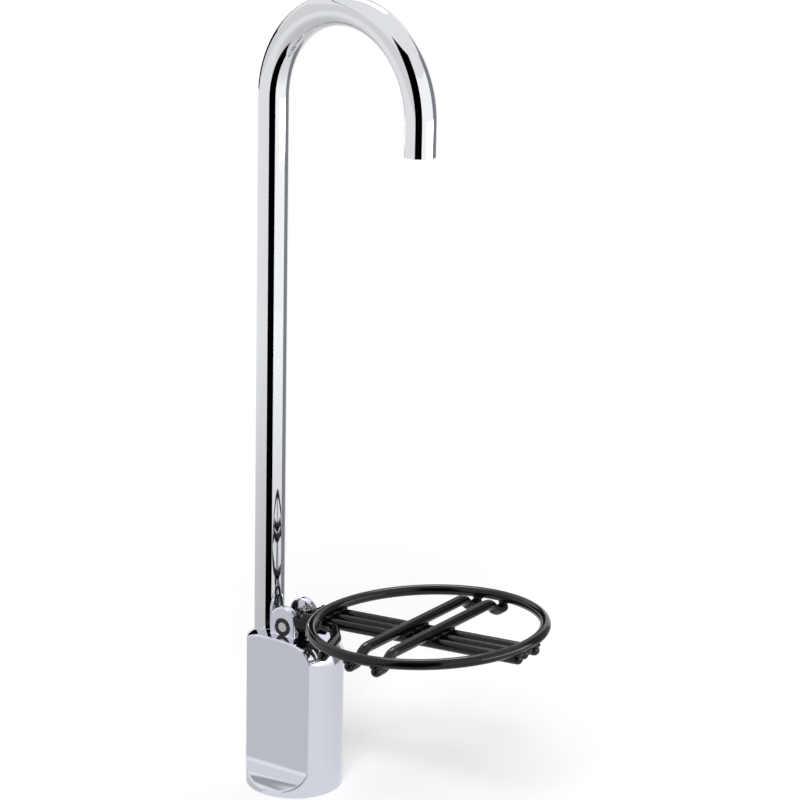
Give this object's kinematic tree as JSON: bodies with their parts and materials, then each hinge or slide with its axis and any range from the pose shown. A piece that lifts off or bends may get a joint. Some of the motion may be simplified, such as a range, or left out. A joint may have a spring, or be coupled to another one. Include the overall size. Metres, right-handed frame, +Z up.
{
  "type": "glass filler faucet",
  "caption": "Deck-mounted glass filler: round domed body, gooseneck spout, and a hinged wire rack that opens the valve when a glass pushes it down.",
  "frame": {"origin": "centre of the inlet hole in the base, at the deck", "axes": "+Z up, +X towards the rack and the outlet, -Y the near flat side"},
  "size_m": [0.17, 0.124, 0.4205],
  "materials": {
    "chrome_plate": "polished",
    "brass": "machined",
    "rubber": "matt",
    "stainless": "bright",
    "black_coating": "gloss black coating"
  },
  "bodies": {
    "valve": {"body": "chrome_plate", "base_gasket": "rubber", "seat_ring": "brass", "stem_bush": "brass", "stem_o_ring": "rubber", "spring_retainer": "brass", "inlet_strainer": "stainless", "spout_tube": "chrome_plate", "spout_nipple": "brass", "spout_o_ring": "rubber", "pivot_pin": "stainless", "pin_clip": "stainless", "hinge_washer_near": "stainless", "hinge_washer_far": "stainless", "valve_spring": "stainless"},
    "rack": {"lever_hub": "black_coating", "adjusting_screw": "stainless", "lock_nut": "stainless", "rack_ring": "black_coating", "arm_wire_near": "black_coating", "arm_wire_middle": "black_coating", "arm_wire_far": "black_coating", "cross_wire_inner": "black_coating", "cross_wire_outer": "black_coating", "brace_near": "black_coating"},
    "stem": {"valve_stem": "stainless", "washer_holder": "brass", "seat_washer": "rubber", "stem_nut": "brass"}
  },
  "joints": [
    {"name": "rack_tilt", "type": "hinge", "parent": "valve", "child": "rack", "pos_m": [-0.0085, 0, 0.0886], "axis": [0, 1, 0], "range_deg": [0, 8], "stiffness_Nm_per_rad": 1.2, "springref_deg": -17.19},
    {"name": "stem_slide", "type": "slide", "parent": "valve", "child": "stem", "axis": [0, 0, -1], "range_m": [0, 0.0012], "deforming": ["valve_spring"]}
  ],
  "couplings": [
    {"joint": "stem_slide", "follows": "rack_tilt", "m_per_rad": 0.0085}
  ]
}
